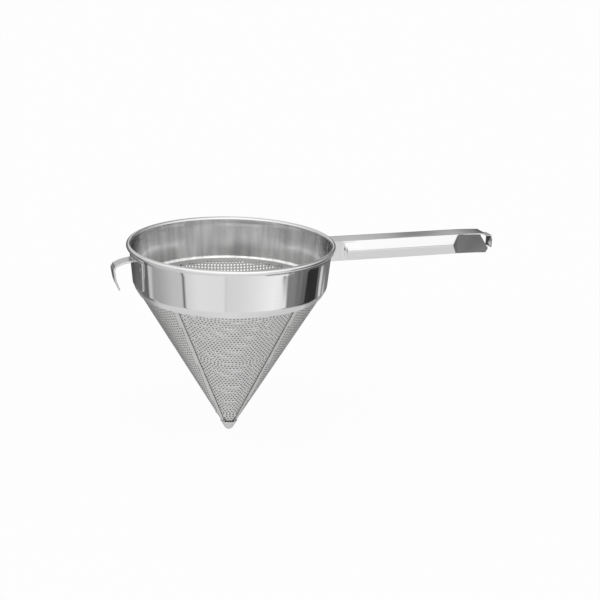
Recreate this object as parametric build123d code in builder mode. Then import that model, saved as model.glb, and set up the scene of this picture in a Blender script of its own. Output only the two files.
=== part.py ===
from build123d import *
from math import atan2, ceil, cos, degrees, floor, log2, pi, radians, sin, tan
import os

# Chinois strainer, 20 cm at the mouth, in millimetres.
# Origin on the cone's axis, in the middle plane of the rolled rim.
# The cone hangs down along -Z, the handle points along +X and the rest hook lies at -X.

# Band: a tapered sheet wall with a curled rim, a shoulder and a conical lip.
# Bends as tight as the curl are drawn with a few flats each, which keeps the mesh light.
wall_top_radius = 98.2
band_sheet = 0.8
band_draft = 5.5
wall_height = 37.8
straight_wall = 5.0
shoulder_radius = 8.0
lip_length = 5.4
wire_radius = 1.6
wire_gap = 0.05
curl_sides = 8
curl_end_angle = 232.0

# Cone: four perforated panels, two of them lapped over the edges of the other two.
# Each is bent to the cone in narrow flats, with its holes centred on the bend lines.
# The panels lie a quarter turn apart, so the number of flats is a multiple of four.
cone_half_angle = 30.4
cone_flats = 48
cone_sheet = 0.7
seat_gap = 0.05
panel_drop = 0.5
panel_foot_slant = 12.5
inner_panel_span = 74.0
inner_panel_azimuth = 258.5
lap_width = 5.0
row_pitch = 19.0
hole_radius = 4.4
hole_sides = 6
edge_margin = 2.6
end_margin = 2.4

# Tip cup
cup_sheet = 0.8
cup_sides = 24
cup_rim_slant = 15.6
cup_tip_radius = 4.9

# Handle: one pressed channel, open below. Lengths along it start at the band's wall
# or, for what lies near the far end, are measured back from the folded tab.
handle_length = 184.2
handle_top = -0.6
handle_width = 21.0
handle_height = 20.5
handle_sheet = 1.2
ridge_drop = 9.8
ridge_swell = 4.0
handle_bend = 1.1
flat_inset = 0.3
root_flat = 15.1
root_ramp = 3.0
end_flat = 48.6
crimp_length = 6.0
wall_cut_top = 16.6
wall_cut_foot = 6.4
wall_cut_height = 16.0
wall_corner = 2.6
web_stop = 10.6
tab_step = 4.2
tab_drop = 3.0
tab_width = 12.4
tab_foot = 17.0
tab_bend = 2.4

# Rest hook: a plate bent round the band carries a strap that reaches over a pot's edge.
# Each bend of the strap has its reach from the band's wall and its depth below the rim.
hook_sheet = 1.6
plate_top = 5.4
plate_foot = 36.0
plate_top_width = 60.0
plate_foot_width = 48.8
plate_flats = 40
hook_width = 16.0
hook_root = 9.3
arm_reach = 10.2
arm_depth = 11.0
knee_reach = 16.9
knee_depth = 13.9
leg_reach = 18.9
leg_depth = 17.4
bow_reach = 17.3
bow_depth = 28.2
hook_tip_out = 12.6
hook_tip = 39.4
hook_tip_width = 8.5
hook_bend = 1.7

# Welds
weld_leg = 2.4
weld_top = 3.4
weld_sides = 8
spot_radius = 2.1
spot_height = 0.25
spot_upper = 13.0
spot_lower = 33.2
tack_radius = 1.25
tack_height = 0.8
tack_edge = 0.4
tack_slant = 18.6
side_tack_slant = 25.5

# One overrun for every cut
overrun = 3.0

os.makedirs("parts", exist_ok=True)


# Derived places of the band, as (radius, height)
draft = radians(band_draft)
alpha = radians(cone_half_angle)
curl_in = wire_radius + wire_gap
curl_out = curl_in + band_sheet
curl_radius = wall_top_radius + curl_in
curl_turn = 180 / curl_sides
wall_in_radius = wall_top_radius - band_sheet
wall_foot_radius = wall_top_radius - (wall_height - straight_wall) * tan(draft)
shoulder_r = wall_foot_radius - shoulder_radius * cos(draft)
shoulder_z = -wall_height + shoulder_radius * sin(draft)


def wall_line(height):
    return wall_foot_radius + (height + wall_height) * tan(draft)


# The rounded shoulder between wall and lip is drawn as one flat
def shoulder_points(radius):
    return [
        (shoulder_r + radius * cos(angle), shoulder_z - radius * sin(angle))
        for angle in (draft, alpha)
    ]


shoulder_out = shoulder_points(shoulder_radius)
shoulder_in = shoulder_points(shoulder_radius - band_sheet)
lip_end = (
    shoulder_out[-1][0] - lip_length * sin(alpha),
    shoulder_out[-1][1] - lip_length * cos(alpha),
)
lip_end_in = (
    lip_end[0] - band_sheet * cos(alpha),
    lip_end[1] + band_sheet * sin(alpha),
)

# The cone's outer surface lies one seat gap inside the lip.
# A place on it is a slant distance from the virtual apex and a depth below the surface.
apex_z = lip_end_in[1] - lip_end_in[0] / tan(alpha) + seat_gap / sin(alpha)
lip_slant = (lip_end_in[0] - seat_gap * cos(alpha)) / sin(alpha)
panel_top_slant = lip_slant + lip_length - panel_drop


def cone_point(slant, depth):
    radius = slant * sin(alpha) - depth * cos(alpha)
    height = apex_z + slant * cos(alpha) + depth * sin(alpha)
    return (radius, height)


def cone_plane(slant, depth, azimuth):
    radius, height = cone_point(slant, depth)
    a = radians(azimuth)
    return Plane(
        origin=(radius * cos(a), radius * sin(a), height),
        x_dir=(-sin(a), cos(a), 0),
        z_dir=(cos(alpha) * cos(a), cos(alpha) * sin(a), -sin(alpha)),
    )


# Rim band
with BuildPart() as band:
    with BuildSketch(Plane.XZ):
        with Locations((curl_radius, 0)):
            RegularPolygon(curl_out, curl_sides, major_radius=False, rotation=curl_turn)
            RegularPolygon(
                curl_in, curl_sides, major_radius=False, rotation=curl_turn, mode=Mode.SUBTRACT)
        with BuildLine():
            end = radians(curl_end_angle)
            Polyline(
                (curl_radius, 0),
                (curl_radius + 2 * curl_out * cos(end), 2 * curl_out * sin(end)),
                (curl_radius - 2 * curl_out, 2 * curl_out * sin(end)),
                (curl_radius - 2 * curl_out, 0),
                close=True,
            )
        make_face(mode=Mode.SUBTRACT)
        with BuildLine():
            Polyline(
                (wall_top_radius, 0),
                (wall_top_radius, -straight_wall),
                *shoulder_out,
                lip_end,
                lip_end_in,
                *reversed(shoulder_in),
                (wall_in_radius, band_sheet * tan(draft / 2) - straight_wall),
                (wall_in_radius, 0),
                close=True,
            )
        make_face()
    revolve(axis=Axis.Z)

# Wire inside the bead
with BuildPart() as rim_wire:
    with BuildSketch(Plane.XZ):
        with Locations((curl_radius, 0)):
            RegularPolygon(wire_radius, curl_sides, major_radius=False, rotation=curl_turn)
    revolve(axis=Axis.Z)


# Sheet bent in flats round the axis: one flat, cut to its wedge, and repeated in a ring.
# The section is drawn through a bend line, so it is drawn in to the middle of a flat.
def flats_of(section, flats, count, first_bend):
    half_turn = pi / flats
    outermost = max(radius for radius, height in section)
    wedge = outermost * tan(half_turn)
    with BuildPart() as flat:
        with BuildSketch(Plane.XZ):
            with BuildLine():
                middle = [(radius * cos(half_turn), height) for radius, height in section]
                Polyline(*middle, close=True)
            make_face()
        extrude(amount=wedge, both=True)
        with BuildSketch(Plane.XY.offset(min(height for radius, height in section))):
            with BuildLine():
                Polyline((0, 0), (outermost, -wedge), (outermost, wedge), close=True)
            make_face()
        extrude(amount=outermost / tan(alpha), mode=Mode.INTERSECT)
    with BuildPart() as ring:
        for place in range(count):
            with Locations(Rotation(0, 0, first_bend + (2 * place + 1) * 180 / flats)):
                add(flat.part)
    return ring.part


# Rows of holes ring the cone, and every second row is moved by half a space.
# Where the cone is half as wide, the rows have half as many holes.
def hole_planes(visible_span, azimuth, depth):
    first = lip_slant - end_margin - hole_radius
    last = panel_foot_slant + end_margin + hole_radius
    rows = floor((first - last) / row_pitch)
    places = []
    for row in range(rows + 1):
        slant = first - row * row_pitch
        spacing = 2 * 2 ** floor(log2(panel_top_slant / slant)) * 360 / cone_flats
        shift = (row % 2) * spacing / 2
        side_room = degrees((edge_margin + hole_radius) / (slant * sin(alpha)))
        reach = visible_span / 2 - side_room
        columns = ceil(visible_span / spacing)
        for column in range(-columns, columns + 1):
            place = column * spacing + shift
            if abs(place) <= reach:
                places.append(cone_plane(slant, depth, azimuth + place))
    return places


def cone_panel(visible_span, azimuth, depth, lap):
    top_radius = cone_point(panel_top_slant, depth)[0]
    span = visible_span + 2 * degrees(lap / top_radius)
    flat_span = 360 / cone_flats
    side_flats = ceil(span / 2 / flat_span)
    section = [
        cone_point(panel_top_slant, depth),
        cone_point(panel_foot_slant, depth),
        cone_point(panel_foot_slant, depth + cone_sheet),
        cone_point(panel_top_slant, depth + cone_sheet),
    ]
    first_bend = azimuth - side_flats * flat_span
    with BuildPart() as panel:
        add(flats_of(section, cone_flats, 2 * side_flats, first_bend))
        # Trim the two long edges
        with BuildSketch(Plane.XY.offset(apex_z)):
            with BuildLine():
                corners = [
                    (2 * top_radius * cos(radians(a)), 2 * top_radius * sin(radians(a)))
                    for a in (azimuth - span / 2, azimuth, azimuth + span / 2)
                ]
                Polyline((0, 0), *corners, close=True)
            make_face()
        extrude(amount=-apex_z, mode=Mode.INTERSECT)
        with BuildSketch(*hole_planes(visible_span, azimuth, depth)):
            RegularPolygon(hole_radius, hole_sides, rotation=90)
        extrude(amount=overrun, both=True, mode=Mode.SUBTRACT)
    return panel


inner_depth = cone_sheet + seat_gap
outer_panel_span = 180.0 - inner_panel_span
outer_panel_azimuth = inner_panel_azimuth - 90.0
panel_front = cone_panel(inner_panel_span, inner_panel_azimuth, inner_depth, lap_width)
panel_hook_side = cone_panel(outer_panel_span, outer_panel_azimuth, 0, 0)
with BuildPart() as panel_back:
    with Locations(Rotation(0, 0, 180)):
        add(panel_front.part)
with BuildPart() as panel_handle_side:
    with Locations(Rotation(0, 0, 180)):
        add(panel_hook_side.part)

# Tip cup: a short cone drawn to a blunt end, over the panels' feet
cup_out = seat_gap + cup_sheet
tip_z = apex_z - cup_out / sin(alpha) + cup_tip_radius / sin(alpha)


def tip_points(radius):
    step = (pi / 2 - alpha) / 4
    bend = radius / cos(step)
    return [
        (bend * cos(alpha + step), tip_z - bend * sin(alpha + step)),
        (bend * cos(alpha + 3 * step), tip_z - bend * sin(alpha + 3 * step)),
        (0, tip_z - radius),
    ]


with BuildPart() as tip_cup:
    cup_section = [
        cone_point(cup_rim_slant, -cup_out),
        *tip_points(cup_tip_radius),
        *reversed(tip_points(cup_tip_radius - cup_sheet)),
        cone_point(cup_rim_slant, -seat_gap),
    ]
    widened = [(radius / cos(pi / cup_sides), height) for radius, height in cup_section]
    add(flats_of(widened, cup_sides, cup_sides, inner_panel_azimuth))

# Space that the band takes up, with its seat gap, for the ends that meet it
with BuildPart() as band_space:
    with BuildSketch(Plane.XZ):
        with Locations((curl_radius, 0)):
            RegularPolygon(
                curl_out + seat_gap, curl_sides, major_radius=False, rotation=curl_turn)
        with BuildLine():
            Polyline(
                (0, curl_out + seat_gap),
                (curl_radius, curl_out + seat_gap),
                (curl_radius, 0),
                (wall_top_radius + seat_gap, 0),
                (wall_top_radius + seat_gap, -straight_wall),
                (wall_foot_radius + seat_gap, -wall_height),
                (0, -wall_height),
                close=True,
            )
        make_face()
    revolve(axis=Axis.Z)

# Handle: swelling channel section, trimmed in plan so that both ends are flat-sided
half_web = handle_width / 2
handle_end = wall_top_radius + handle_length
handle_bottom = handle_top - handle_height
ridge_z = handle_top - ridge_drop
slope_sheet = handle_sheet / cos(atan2(ridge_swell, ridge_drop))
web_end = handle_end - web_stop


def handle_plan(inset, start, stop):
    narrow = half_web - flat_inset - inset
    wide = narrow + 2 * ridge_swell
    root_crimp = wall_top_radius + root_flat
    far_crimp = handle_end - end_flat
    return [
        (start, narrow),
        (root_crimp, narrow),
        (root_crimp + 2 * root_ramp, wide),
        (far_crimp - crimp_length, wide),
        (far_crimp + crimp_length, narrow),
        (stop, narrow),
    ]


with BuildPart() as handle_hollow:
    with BuildSketch(Plane.YZ):
        with BuildLine():
            top = handle_top - handle_sheet
            web_half = half_web - slope_sheet
            Polyline(
                (-web_half, top),
                (web_half, top),
                (web_half + ridge_swell, ridge_z),
                (web_half, handle_bottom),
                (web_half, handle_bottom - overrun),
                (-web_half, handle_bottom - overrun),
                (-web_half, handle_bottom),
                (-web_half - ridge_swell, ridge_z),
                close=True,
            )
        make_face()
    extrude(amount=web_end + overrun)
    with BuildSketch(Plane.XY):
        with BuildLine():
            upper = handle_plan(handle_sheet, 0, web_end + overrun)
            lower = [(x, -y) for x, y in reversed(upper)]
            Polyline(*upper, *lower, close=True)
        make_face()
    extrude(amount=handle_height + 2 * overrun, both=True, mode=Mode.INTERSECT)

with BuildPart() as channel:
    with BuildSketch(Plane.YZ):
        with BuildLine():
            Polyline(
                (-half_web, handle_top),
                (half_web, handle_top),
                (half_web + ridge_swell, ridge_z),
                (half_web, handle_bottom),
                (-half_web, handle_bottom),
                (-half_web - ridge_swell, ridge_z),
                close=True,
            )
        make_face()
        bends = vertices().filter_by_position(Axis.Y, handle_bottom + overrun, 0)
        fillet(bends, radius=handle_bend)
    extrude(amount=web_end)
    with BuildSketch(Plane.XY):
        with BuildLine():
            upper = handle_plan(0, 0, web_end)
            lower = [(x, -y) for x, y in reversed(upper)]
            Polyline(*upper, *lower, close=True)
        make_face()
    extrude(amount=handle_height + overrun, both=True, mode=Mode.INTERSECT)
    add(handle_hollow.part, mode=Mode.SUBTRACT)
    # The side walls end on a slant below the web
    with BuildSketch(Plane.XZ):
        with BuildLine():
            under_web = handle_top - handle_sheet
            cut_foot = handle_end - wall_cut_foot
            Polyline(
                (handle_end - wall_cut_top, under_web),
                (cut_foot, handle_top - wall_cut_height),
                (cut_foot - wall_corner, handle_bottom),
                (cut_foot - wall_corner, handle_bottom - overrun),
                (handle_end + overrun, handle_bottom - overrun),
                (handle_end + overrun, under_web),
                close=True,
            )
        make_face()
    extrude(amount=handle_width, both=True, mode=Mode.SUBTRACT)
    add(band_space.part, mode=Mode.SUBTRACT)

# The web runs on as a narrower tab, stepped down and folded over the end
with BuildPart() as end_tab:
    with BuildSketch(Plane.XZ):
        with BuildLine():
            mid_sheet = handle_top - handle_sheet / 2
            FilletPolyline(
                (web_end - tab_step, mid_sheet),
                (web_end, mid_sheet),
                (web_end + tab_step, mid_sheet - tab_drop),
                (handle_end - handle_sheet / 2, mid_sheet - tab_drop),
                (handle_end - handle_sheet / 2, handle_top - tab_foot),
                radius=tab_bend / 2,
            )
        trace(line_width=handle_sheet)
    extrude(amount=handle_width, both=True)
    with BuildSketch(Plane.XY):
        with BuildLine():
            tab_side = half_web - flat_inset
            upper = [
                (web_end - tab_step, tab_side),
                (web_end, tab_side),
                (web_end + tab_step, tab_width / 2),
                (handle_end + overrun, tab_width / 2),
            ]
            lower = [(x, -y) for x, y in reversed(upper)]
            Polyline(*upper, *lower, close=True)
        make_face()
    extrude(amount=handle_height + overrun, both=True, mode=Mode.INTERSECT)

with BuildPart() as handle:
    add(channel.part)
    add(end_tab.part)

# Plate of the rest hook: four flats of a ring that follows the band's tapered wall
plate_face = seat_gap + hook_sheet / cos(draft)
plate_section = [
    (wall_line(-plate_top) + seat_gap, -plate_top),
    (wall_line(-plate_top) + plate_face, -plate_top),
    (wall_line(-plate_foot) + plate_face, -plate_foot),
    (wall_line(-plate_foot) + seat_gap, -plate_foot),
]
with BuildPart() as hook_plate:
    widened = [(radius / cos(pi / plate_flats), height) for radius, height in plate_section]
    add(flats_of(widened, plate_flats, 4, 180 - 2 * 360 / plate_flats))
    with BuildSketch(Plane.YZ):
        with BuildLine():
            Polyline(
                (-plate_top_width / 2, -plate_top),
                (plate_top_width / 2, -plate_top),
                (plate_foot_width / 2, -plate_foot),
                (-plate_foot_width / 2, -plate_foot),
                close=True,
            )
        make_face()
    extrude(amount=-(wall_top_radius + leg_reach), mode=Mode.INTERSECT)

# The strap starts inside the plate's sheet, runs out, turns down and bows back inwards
with BuildPart() as hook:
    with BuildSketch(Plane.XZ):
        with BuildLine():
            root_off = seat_gap + hook_sheet / 2 / cos(draft)
            FilletPolyline(
                (-wall_line(-hook_root) - root_off, -hook_root),
                (-wall_top_radius - arm_reach, -arm_depth),
                (-wall_top_radius - knee_reach, -knee_depth),
                (-wall_top_radius - leg_reach, -leg_depth),
                (-wall_top_radius - bow_reach, -bow_depth),
                (-wall_top_radius - hook_tip_out, -hook_tip),
                radius=hook_bend,
            )
        trace(line_width=hook_sheet)
    extrude(amount=hook_width / 2, both=True)
    # The free leg narrows towards its tip
    with BuildSketch(Plane.YZ.offset(-wall_top_radius - hook_tip_out / 2)):
        with BuildLine():
            Polyline(
                (hook_width / 2, -knee_depth),
                (hook_tip_width / 2, -hook_tip - overrun),
                (hook_width / 2 + overrun, -hook_tip - overrun),
                (hook_width / 2 + overrun, -knee_depth),
                close=True,
            )
        make_face()
        mirror(about=Plane.YZ)
    extrude(amount=-(leg_reach + overrun), mode=Mode.SUBTRACT)
    add(hook_plate.part)

# Fillet welds up both sides of the handle's root
with BuildPart() as handle_welds:
    with BuildSketch(Plane.XY.offset(handle_bottom)):
        with BuildLine():
            side = half_web - flat_inset + seat_gap
            toe = wall_top_radius + weld_leg
            Polyline(
                (wall_foot_radius - overrun, side),
                (toe, side),
                (wall_foot_radius - overrun, side + weld_leg * 2),
                close=True,
            )
        make_face()
        mirror(about=Plane.XZ)
    extrude(amount=handle_height + handle_top - weld_top)
    add(band_space.part, mode=Mode.SUBTRACT)

# Spot welds in the middle of the plate's two outer flats
with BuildPart() as hook_welds:
    spots = []
    for height in (-spot_upper, -spot_lower):
        for flat in (-1.5, 1.5):
            a = pi + flat * 2 * pi / plate_flats
            face_radius = wall_line(height) + plate_face
            spots.append(
                Plane(
                    origin=(face_radius * cos(a), face_radius * sin(a), height),
                    x_dir=(-sin(a), cos(a), 0),
                    z_dir=(cos(draft) * cos(a), cos(draft) * sin(a), -sin(draft)),
                )
            )
    with BuildSketch(*spots):
        RegularPolygon(spot_radius, weld_sides)
    extrude(amount=spot_height)

# Tack welds at the feet of the panels, trimmed to the cone with a seat gap
seam_azimuths = [
    inner_panel_azimuth + side * inner_panel_span / 2 + half
    for side in (-1, 1)
    for half in (0, 180)
]
with BuildPart() as tack:
    with BuildSketch():
        RegularPolygon(tack_radius, weld_sides)
    extrude(amount=tack_height + tack_edge)
    chamfer(faces().sort_by(Axis.Z)[-1].edges(), length=tack_edge)

with BuildPart() as tip_tacks:
    tacks = [cone_plane(tack_slant, tack_edge, azimuth) for azimuth in seam_azimuths]
    for azimuth in (outer_panel_azimuth, outer_panel_azimuth + 180):
        tacks.append(cone_plane(side_tack_slant, tack_edge, azimuth))
    with Locations(*tacks):
        add(tack.part)
    low = [
        cone_point(panel_foot_slant, -seat_gap),
        cone_point(side_tack_slant + 2 * tack_radius, -seat_gap),
    ]
    cone_core = [(0, low[0][1]), low[0], low[1], (0, low[1][1])]
    add(flats_of(cone_core, cone_flats, cone_flats, inner_panel_azimuth), mode=Mode.SUBTRACT)

pieces = {
    "band": band,
    "rim_wire": rim_wire,
    "panel_front": panel_front,
    "panel_back": panel_back,
    "panel_handle_side": panel_handle_side,
    "panel_hook_side": panel_hook_side,
    "tip_cup": tip_cup,
    "handle": handle,
    "hook": hook,
    "handle_welds": handle_welds,
    "hook_welds": hook_welds,
    "tip_tacks": tip_tacks,
}
for name, piece in pieces.items():
    piece.part.label = name
    export_step(piece.part, "parts/" + name + ".step")
    size = piece.part.bounding_box().size
    print(name, len(piece.part.solids()), "solids, size",
          round(size.X, 1), round(size.Y, 1), round(size.Z, 1))
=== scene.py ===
# %% [markdown]
# # A chinois strainer in polished and satin steel
# A chinois is a conical kitchen strainer: a polished rim band, four perforated panels rolled
# to a cone, a plain cup at the tip, a pressed channel handle and a small hook that rests on
# the edge of a pot. The lesson dresses a finished CAD model: every piece is made at the place
# where the CAD solids are, in metres, with the origin on the cone's axis at the rolled rim.

import bpy
import bmesh
import math
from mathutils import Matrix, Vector


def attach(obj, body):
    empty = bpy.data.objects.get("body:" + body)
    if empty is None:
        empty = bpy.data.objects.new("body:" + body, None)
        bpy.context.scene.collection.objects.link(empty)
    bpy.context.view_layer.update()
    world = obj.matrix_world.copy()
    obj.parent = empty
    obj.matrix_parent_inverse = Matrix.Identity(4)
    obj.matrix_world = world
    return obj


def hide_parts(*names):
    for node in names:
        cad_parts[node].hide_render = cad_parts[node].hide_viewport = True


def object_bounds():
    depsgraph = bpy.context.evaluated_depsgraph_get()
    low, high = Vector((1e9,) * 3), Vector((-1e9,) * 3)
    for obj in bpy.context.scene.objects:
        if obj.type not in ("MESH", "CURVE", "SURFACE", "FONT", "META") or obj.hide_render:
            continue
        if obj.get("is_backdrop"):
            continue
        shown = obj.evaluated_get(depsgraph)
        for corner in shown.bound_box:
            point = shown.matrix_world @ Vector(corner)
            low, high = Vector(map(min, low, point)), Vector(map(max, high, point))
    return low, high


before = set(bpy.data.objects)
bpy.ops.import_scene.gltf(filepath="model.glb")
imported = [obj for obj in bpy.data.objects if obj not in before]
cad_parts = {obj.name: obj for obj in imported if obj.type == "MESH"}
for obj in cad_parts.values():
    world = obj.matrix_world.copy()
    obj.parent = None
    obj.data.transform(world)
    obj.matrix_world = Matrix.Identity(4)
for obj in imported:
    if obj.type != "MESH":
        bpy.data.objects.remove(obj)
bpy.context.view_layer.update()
MM = 0.001
cone_lean = math.radians(30.4)

# %% [markdown]
# ## Camera
# The viewpoint can be set by eye, but a fitted one saves hours: the ellipse of the rim gives
# the camera's height, and the lines of the cone its distance. The camera looks 18 degrees
# down, from the side where the handle points to the back right of the picture.

# %% Place the camera
view_turn = math.radians(19.5)
view_down = math.radians(18.01)
view_roll = math.radians(-1.99)
view_distance = 1.173
focal_pixels = 1200.0
picture_pixels = 600
sensor_mm = 36
rim_pixel = (231.6, 244.0)
look =Vector((
    math.sin(view_turn) * math.cos(view_down),
    math.cos(view_turn) * math.cos(view_down),
    -math.sin(view_down),
))
level_right = Vector((math.cos(view_turn), -math.sin(view_turn), 0))
level_up = level_right.cross(look)
right = level_right * math.cos(view_roll) - level_up * math.sin(view_roll)
up = level_right * math.sin(view_roll) + level_up * math.cos(view_roll)
middle_pixel = picture_pixels / 2
across = (rim_pixel[0] - middle_pixel) / focal_pixels * view_distance
above = -(rim_pixel[1] - middle_pixel) / focal_pixels * view_distance
eye = -(right * across + up * above + look * view_distance)
camera_data = bpy.data.cameras.new("photo_camera")
camera_data.sensor_width = sensor_mm
camera_data.lens = focal_pixels * sensor_mm / picture_pixels
camera_data.clip_end = 60
camera = bpy.data.objects.new("photo_camera", camera_data)
bpy.context.scene.collection.objects.link(camera)
pose = camera.matrix_world.copy()
for row in range(3):
    pose[row][0], pose[row][1] = right[row], up[row]
    pose[row][2], pose[row][3] = -look[row], eye[row]
camera.matrix_world = pose
bpy.context.scene.camera = camera
print("camera at", [round(v, 3) for v in eye], "lens", camera_data.lens)

# %% [markdown]
# ## Shared surface effects
# Steel is never one flat grey. Two effects come back in several finishes, so each is a node
# group made once. "rolled_grain" is the fine streaking that rolling or buffing leaves, given
# as a shade and a height. "handling_haze" is the faint cloudiness of hands and washing, which
# shows as a change of roughness. Both read a vector, so each finish chooses how it runs.


# %% Helpers for node groups
def node(tree, kind, **values):
    made = tree.nodes.new(kind)
    for key, value in values.items():
        setattr(made, key, value)
    return made


def math_node(tree, operation, first, second=None, clamp=False):
    made = node(tree, "ShaderNodeMath", operation=operation, use_clamp=clamp)
    for place, value in enumerate((first, second)):
        if value is None:
            continue
        if isinstance(value, (int, float)):
            made.inputs[place].default_value = value
        else:
            tree.links.new(value, made.inputs[place])
    return made.outputs[0]


def add_inputs(tree, inputs):
    identifiers = {}
    for label, kind, value in inputs:
        socket = tree.interface.new_socket(name=label, in_out="INPUT", socket_type=kind)
        if value is not None:
            socket.default_value = value
        identifiers[label] = socket.identifier
    return identifiers


def new_group(name, inputs, outputs):
    tree = bpy.data.node_groups.new(name, "ShaderNodeTree")
    add_inputs(tree, inputs)
    for label, kind in outputs:
        tree.interface.new_socket(name=label, in_out="OUTPUT", socket_type=kind)
    return tree, tree.nodes.new("NodeGroupInput"), tree.nodes.new("NodeGroupOutput")


# %% The rolled grain group
grain, g_in, g_out = new_group(
    "rolled_grain",
    [
        ("Vector", "NodeSocketVector", None),
        ("Scale", "NodeSocketFloat", 900.0),
        ("Contrast", "NodeSocketFloat", 0.1),
    ],
    [("Shade", "NodeSocketFloat"), ("Height", "NodeSocketFloat")],
)
streaks = node(grain, "ShaderNodeTexNoise")
streaks.inputs["Detail"].default_value = 4.0
streaks.inputs["Roughness"].default_value = 0.6
grain.links.new(g_in.outputs["Vector"], streaks.inputs["Vector"])
grain.links.new(g_in.outputs["Scale"], streaks.inputs["Scale"])
centred = math_node(grain, "SUBTRACT", streaks.outputs["Fac"], 0.5)
swing = math_node(grain, "MULTIPLY", centred, g_in.outputs["Contrast"])
shade = math_node(grain, "ADD", swing, 1.0)
grain.links.new(shade, g_out.inputs["Shade"])
grain.links.new(streaks.outputs["Fac"], g_out.inputs["Height"])
print("group", grain.name, "with", len(grain.nodes), "nodes")

# %% The handling haze group
haze, h_in, h_out = new_group(
    "handling_haze",
    [
        ("Vector", "NodeSocketVector", None),
        ("Scale", "NodeSocketFloat", 18.0),
        ("Clean", "NodeSocketFloat", 0.08),
        ("Hazy", "NodeSocketFloat", 0.16),
    ],
    [("Roughness", "NodeSocketFloat"), ("Mask", "NodeSocketFloat")],
)
clouds = node(haze, "ShaderNodeTexNoise")
clouds.inputs["Detail"].default_value = 5.0
haze.links.new(h_in.outputs["Vector"], clouds.inputs["Vector"])
haze.links.new(h_in.outputs["Scale"], clouds.inputs["Scale"])
spread = node(haze, "ShaderNodeMapRange")
spread.inputs["From Min"].default_value = 0.35
spread.inputs["From Max"].default_value = 0.7
haze.links.new(clouds.outputs["Fac"], spread.inputs["Value"])
haze.links.new(h_in.outputs["Clean"], spread.inputs["To Min"])
haze.links.new(h_in.outputs["Hazy"], spread.inputs["To Max"])
haze.links.new(spread.outputs["Result"], h_out.inputs["Roughness"])
haze.links.new(clouds.outputs["Fac"], h_out.inputs["Mask"])
print("group", haze.name, "with", len(haze.nodes), "nodes")

# %% [markdown]
# ## Finishes
# All pieces are stainless steel, and what differs is the finish: the band and the handle are
# polished, the perforated sheet and the hook are satin as they come from the mill, and the
# welds are dull. One recipe makes them all: a metal shader whose colour takes the grain's
# shade and whose roughness takes the haze. The vector scales set which way the grain runs.


# %% A recipe for steel finishes
def steel(name, colour, clean, hazy, grain_run, grain_scale, contrast, bump):
    material = bpy.data.materials.new(name)
    material.use_nodes = True
    tree = material.node_tree
    tree.nodes.clear()
    out = node(tree, "ShaderNodeOutputMaterial")
    shader = node(tree, "ShaderNodeBsdfPrincipled")
    tree.links.new(shader.outputs["BSDF"], out.inputs["Surface"])
    shader.inputs["Metallic"].default_value = 1.0
    place = node(tree, "ShaderNodeTexCoord")
    run = node(tree, "ShaderNodeMapping")
    run.inputs["Scale"].default_value = grain_run
    tree.links.new(place.outputs["Object"], run.inputs["Vector"])
    lines = node(tree, "ShaderNodeGroup", node_tree=grain)
    lines.inputs["Scale"].default_value = grain_scale
    lines.inputs["Contrast"].default_value = contrast
    tree.links.new(run.outputs["Vector"], lines.inputs["Vector"])
    cloud = node(tree, "ShaderNodeGroup", node_tree=haze)
    cloud.inputs["Clean"].default_value = clean
    cloud.inputs["Hazy"].default_value = hazy
    tree.links.new(place.outputs["Object"], cloud.inputs["Vector"])
    tint = node(tree, "ShaderNodeVectorMath", operation="SCALE")
    tint.inputs[0].default_value = colour
    tree.links.new(lines.outputs["Shade"], tint.inputs["Scale"])
    tree.links.new(tint.outputs["Vector"], shader.inputs["Base Color"])
    tree.links.new(cloud.outputs["Roughness"], shader.inputs["Roughness"])
    relief = node(tree, "ShaderNodeBump")
    relief.inputs["Strength"].default_value = bump
    relief.inputs["Distance"].default_value = 0.0002
    tree.links.new(lines.outputs["Height"], relief.inputs["Height"])
    tree.links.new(relief.outputs["Normal"], shader.inputs["Normal"])
    return material


buffed_band = steel(
    "buffed_band_steel", (0.83, 0.83, 0.835), clean=0.05, hazy=0.09,
    grain_run=(0.15, 0.15, 1), grain_scale=500, contrast=0.04, bump=0.01)
polished_handle = steel(
    "polished_handle_steel", (0.82, 0.82, 0.825), clean=0.09, hazy=0.15,
    grain_run=(0.1, 1, 1), grain_scale=500, contrast=0.05, bump=0.02)
satin_sheet = steel(
    "satin_sheet_steel", (0.74, 0.74, 0.735), clean=0.30, hazy=0.38,
    grain_run=(1, 1, 1), grain_scale=400, contrast=0.12, bump=0.05)
# Painted shade: a darker copy of the satin sheet for the panels' inner faces, hole walls and cut
# edges, so that the inside of the cone, the holes and the lapped seams read dark.
painted_shade_sheet = steel(
    "painted_shade_inner_steel", (0.34, 0.34, 0.335), clean=0.38, hazy=0.5,
    grain_run=(1, 1, 1), grain_scale=400, contrast=0.15, bump=0.05)
soft_inside = steel(
    "soft_inside_steel", (0.84, 0.84, 0.84), clean=0.12, hazy=0.26,
    grain_run=(1, 1, 0.05), grain_scale=110, contrast=0.9, bump=0.05)
satin_strap = steel(
    "satin_strap_steel", (0.74, 0.74, 0.74), clean=0.22, hazy=0.3,
    grain_run=(1, 0.15, 1), grain_scale=600, contrast=0.1, bump=0.05)
weld_metal = steel(
    "dull_weld_metal", (0.42, 0.41, 0.4), clean=0.4, hazy=0.55,
    grain_run=(1, 1, 1), grain_scale=900, contrast=0.4, bump=0.4)
for finish in (buffed_band, polished_handle, satin_sheet, painted_shade_sheet, soft_inside,
               satin_strap, weld_metal):
    print("finish", finish.name)


# %% [markdown]
# ## Helpers for sheet pieces
# Mirror-like sheet shows every flaw of its mesh, so faces are smooth and only true folds stay
# sharp. One helper marks the edges that turn by more than an angle in degrees, one applies
# the modifiers, and one gives a piece its body, hides the CAD solids that it stands for and
# says which they are.


# %% Finishing helpers
def mark_folds(mesh, angle):
    work = bmesh.new()
    work.from_mesh(mesh)
    for face in work.faces:
        face.smooth = True
    for edge in work.edges:
        if len(edge.link_faces) == 2:
            edge.smooth = edge.calc_face_angle(0) < math.radians(angle)
        else:
            edge.smooth = False
    work.to_mesh(mesh)
    work.free()


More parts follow.
